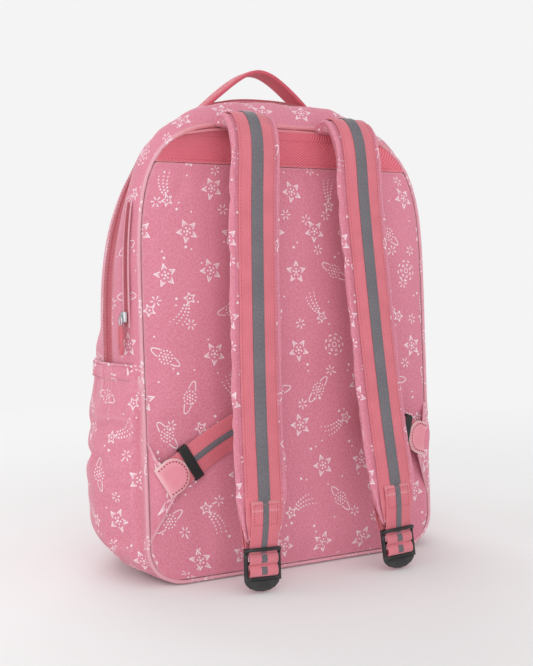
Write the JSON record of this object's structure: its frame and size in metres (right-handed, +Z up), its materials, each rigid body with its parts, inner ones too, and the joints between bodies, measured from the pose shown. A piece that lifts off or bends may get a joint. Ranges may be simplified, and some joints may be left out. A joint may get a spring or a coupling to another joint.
{
  "type": "school backpack",
  "caption": "Large padded school backpack with an arched zip opening, front and side pockets, two shoulder straps with ladder locks, and a webbing carry handle.",
  "frame": {"origin": "middle of the base, on the floor", "axes": "+Z up, -Y out of the back panel that the wearer leans on, +X to the right of someone facing that panel"},
  "size_m": [0.3682, 0.2624, 0.4826],
  "materials": {
    "printed_fabric": "dusty pink woven nylon with a small white print of stars, dots and ringed planets",
    "coral_twill": "coral ribbed twill with double stitching",
    "coral_webbing": "coral woven webbing, fine ribs",
    "zip_tape": "coral zip tape with coil teeth",
    "reflective_stripe": "grey woven reflective stripe, mottled",
    "black_plastic": "moulded black plastic, satin, fine ribs",
    "leatherette": "smooth coral leatherette, stitched edge",
    "lining": "plain grey lining cloth",
    "foam": "closed cell foam and stiffener board, hidden",
    "zip_metal": "satin die-cast slider",
    "puller_webbing": "moulded coral pull tab"
  },
  "bodies": {
    "bag": {"back_panel": "printed_fabric", "back_foam": "foam", "yoke_band": "coral_twill", "panel_piping": "printed_fabric", "rear_gusset": "printed_fabric", "main_zip_tape_rear": "zip_tape", "base_panel": "printed_fabric", "base_board": "foam", "left_side_wall": "printed_fabric", "right_side_wall": "printed_fabric", "laptop_sleeve": "lining", "sleeve_binding": "zip_tape", "front_lower_shell": "printed_fabric", "lower_pocket": "printed_fabric", "lower_pocket_zip": "zip_tape", "left_side_pocket": "printed_fabric", "left_pocket_hem": "printed_fabric", "right_side_pocket": "printed_fabric", "right_pocket_hem": "printed_fabric", "side_zip_tape": "zip_tape"},
    "front_flap": {"front_upper_shell": "printed_fabric", "main_zip_tape_front": "zip_tape", "upper_pocket": "printed_fabric", "upper_pocket_zip": "zip_tape"},
    "carry_handle": {"carry_handle": "coral_webbing"},
    "left_strap": {"left_strap_pad": "printed_fabric", "left_strap_webbing": "coral_webbing", "left_strap_stripe": "reflective_stripe", "left_strap_tab": "coral_webbing"},
    "left_lock": {"left_ladder_lock": "black_plastic", "left_adjuster_webbing": "coral_webbing"},
    "left_anchor": {"left_anchor_tab": "printed_fabric", "left_anchor_patch": "leatherette", "left_lower_webbing": "coral_webbing"},
    "left_keeper": {"left_strap_keeper": "black_plastic"},
    "right_strap": {"right_strap_pad": "printed_fabric", "right_strap_webbing": "coral_webbing", "right_strap_stripe": "reflective_stripe", "right_strap_tab": "coral_webbing"},
    "right_lock": {"right_ladder_lock": "black_plastic", "right_adjuster_webbing": "coral_webbing"},
    "right_anchor": {"right_anchor_tab": "printed_fabric", "right_anchor_patch": "leatherette", "right_lower_webbing": "coral_webbing"},
    "right_keeper": {"right_strap_keeper": "black_plastic"},
    "main_zip_upper_slider": {"main_zip_upper_slider": "zip_metal"},
    "main_zip_upper_puller": {"main_zip_upper_puller": "puller_webbing"},
    "main_zip_lower_slider": {"main_zip_lower_slider": "zip_metal"},
    "main_zip_lower_puller": {"main_zip_lower_puller": "puller_webbing"},
    "lower_pocket_zip_slider": {"lower_pocket_zip_slider": "zip_metal"},
    "lower_pocket_zip_puller": {"lower_pocket_zip_puller": "puller_webbing"},
    "upper_pocket_zip_slider": {"upper_pocket_zip_slider": "zip_metal"},
    "upper_pocket_zip_puller": {"upper_pocket_zip_puller": "puller_webbing"},
    "side_zip_slider": {"side_zip_slider": "zip_metal"},
    "side_zip_puller": {"side_zip_puller": "puller_webbing"}
  },
  "joints": [
    {"name": "front_flap_open", "type": "hinge", "parent": "bag", "child": "front_flap", "pos_m": [0, 0.06, 0.19], "axis": [-1, 0, 0], "range_deg": [0, 45], "stiffness_Nm_per_rad": 3},
    {"name": "carry_handle_swing", "type": "hinge", "parent": "front_flap", "child": "carry_handle", "pos_m": [0.004, -0.003, 0.444], "axis": [1, 0, 0], "range_deg": [-20, 20], "stiffness_Nm_per_rad": 0.02},
    {"name": "left_strap_swing", "type": "hinge", "parent": "bag", "child": "left_strap", "pos_m": [0, -0.07963, 0.4152], "axis": [-1, 0, 0], "range_deg": [0, 40], "stiffness_Nm_per_rad": 0.5},
    {"name": "left_lock_pivot", "type": "hinge", "parent": "left_strap", "child": "left_lock", "pos_m": [-0.0727, -0.14943, 0.03728], "axis": [-1, 0, 0], "range_deg": [-6, 35], "stiffness_Nm_per_rad": 0.01},
    {"name": "left_anchor_swing", "type": "hinge", "parent": "bag", "child": "left_anchor", "pos_m": [-0.1495, -0.09629, 0.094], "axis": [0, 0, -1], "range_deg": [0, 30], "stiffness_Nm_per_rad": 0.02},
    {"name": "left_keeper_slide", "type": "slide", "parent": "left_anchor", "child": "left_keeper", "axis": [0.8569, 0.0247, 0.5149], "range_m": [0, 0.018]},
    {"name": "right_strap_swing", "type": "hinge", "parent": "bag", "child": "right_strap", "pos_m": [0, -0.07963, 0.4152], "axis": [-1, 0, 0], "range_deg": [0, 40], "stiffness_Nm_per_rad": 0.5},
    {"name": "right_lock_pivot", "type": "hinge", "parent": "right_strap", "child": "right_lock", "pos_m": [0.0727, -0.14943, 0.03728], "axis": [-1, 0, 0], "range_deg": [-6, 35], "stiffness_Nm_per_rad": 0.01},
    {"name": "right_anchor_swing", "type": "hinge", "parent": "bag", "child": "right_anchor", "pos_m": [0.1495, -0.09552, 0.11], "axis": [0, 0, 1], "range_deg": [0, 30], "stiffness_Nm_per_rad": 0.02},
    {"name": "right_keeper_slide", "type": "slide", "parent": "right_anchor", "child": "right_keeper", "axis": [-0.907, -0.2436, 0.3434], "range_m": [0, 0.018]},
    {"name": "main_zip_upper_slide", "type": "slide", "parent": "bag", "child": "main_zip_upper_slider", "axis": [-0.139, 0, 0.9903], "range_m": [0, 0.03], "stiffness_N_per_m": 20},
    {"name": "main_zip_lower_slide", "type": "slide", "parent": "bag", "child": "main_zip_lower_slider", "axis": [0, 0, -1], "range_m": [0, 0.02], "stiffness_N_per_m": 20},
    {"name": "lower_pocket_zip_slide", "type": "slide", "parent": "bag", "child": "lower_pocket_zip_slider", "axis": [-1, 0, 0], "range_m": [0, 0.16]},
    {"name": "upper_pocket_zip_slide", "type": "slide", "parent": "front_flap", "child": "upper_pocket_zip_slider", "axis": [-1, 0, 0], "range_m": [0, 0.124]},
    {"name": "side_zip_slide", "type": "slide", "parent": "bag", "child": "side_zip_slider", "axis": [0, 0.0321, 0.9995], "range_m": [0, 0.06], "stiffness_N_per_m": 20},
    {"name": "main_zip_upper_puller_flip", "type": "hinge", "parent": "main_zip_upper_slider", "child": "main_zip_upper_puller", "pos_m": [0.17006, -0.032, 0.29], "axis": [0, -1, 0], "range_deg": [0, 120]},
    {"name": "main_zip_lower_puller_flip", "type": "hinge", "parent": "main_zip_lower_slider", "child": "main_zip_lower_puller", "pos_m": [0.17312, -0.032, 0.243], "axis": [0, -1, 0], "range_deg": [0, 120]},
    {"name": "lower_pocket_zip_puller_flip", "type": "hinge", "parent": "lower_pocket_zip_slider", "child": "lower_pocket_zip_puller", "pos_m": [0.08, 0.1054, 0.15], "axis": [0, 0, -1], "range_deg": [0, 120]},
    {"name": "upper_pocket_zip_puller_flip", "type": "hinge", "parent": "upper_pocket_zip_slider", "child": "upper_pocket_zip_puller", "pos_m": [0.062, 0.0834, 0.33], "axis": [0, 0, -1], "range_deg": [0, 120]},
    {"name": "side_zip_puller_flip", "type": "hinge", "parent": "side_zip_slider", "child": "side_zip_puller", "pos_m": [-0.1696, -0.06973, 0.242], "axis": [0, 1, 0], "range_deg": [0, 120]}
  ],
  "couplings": [
    {"joint": "left_anchor_swing", "follows": "left_strap_swing", "ratio": 0.75},
    {"joint": "right_anchor_swing", "follows": "right_strap_swing", "ratio": 0.75}
  ]
}
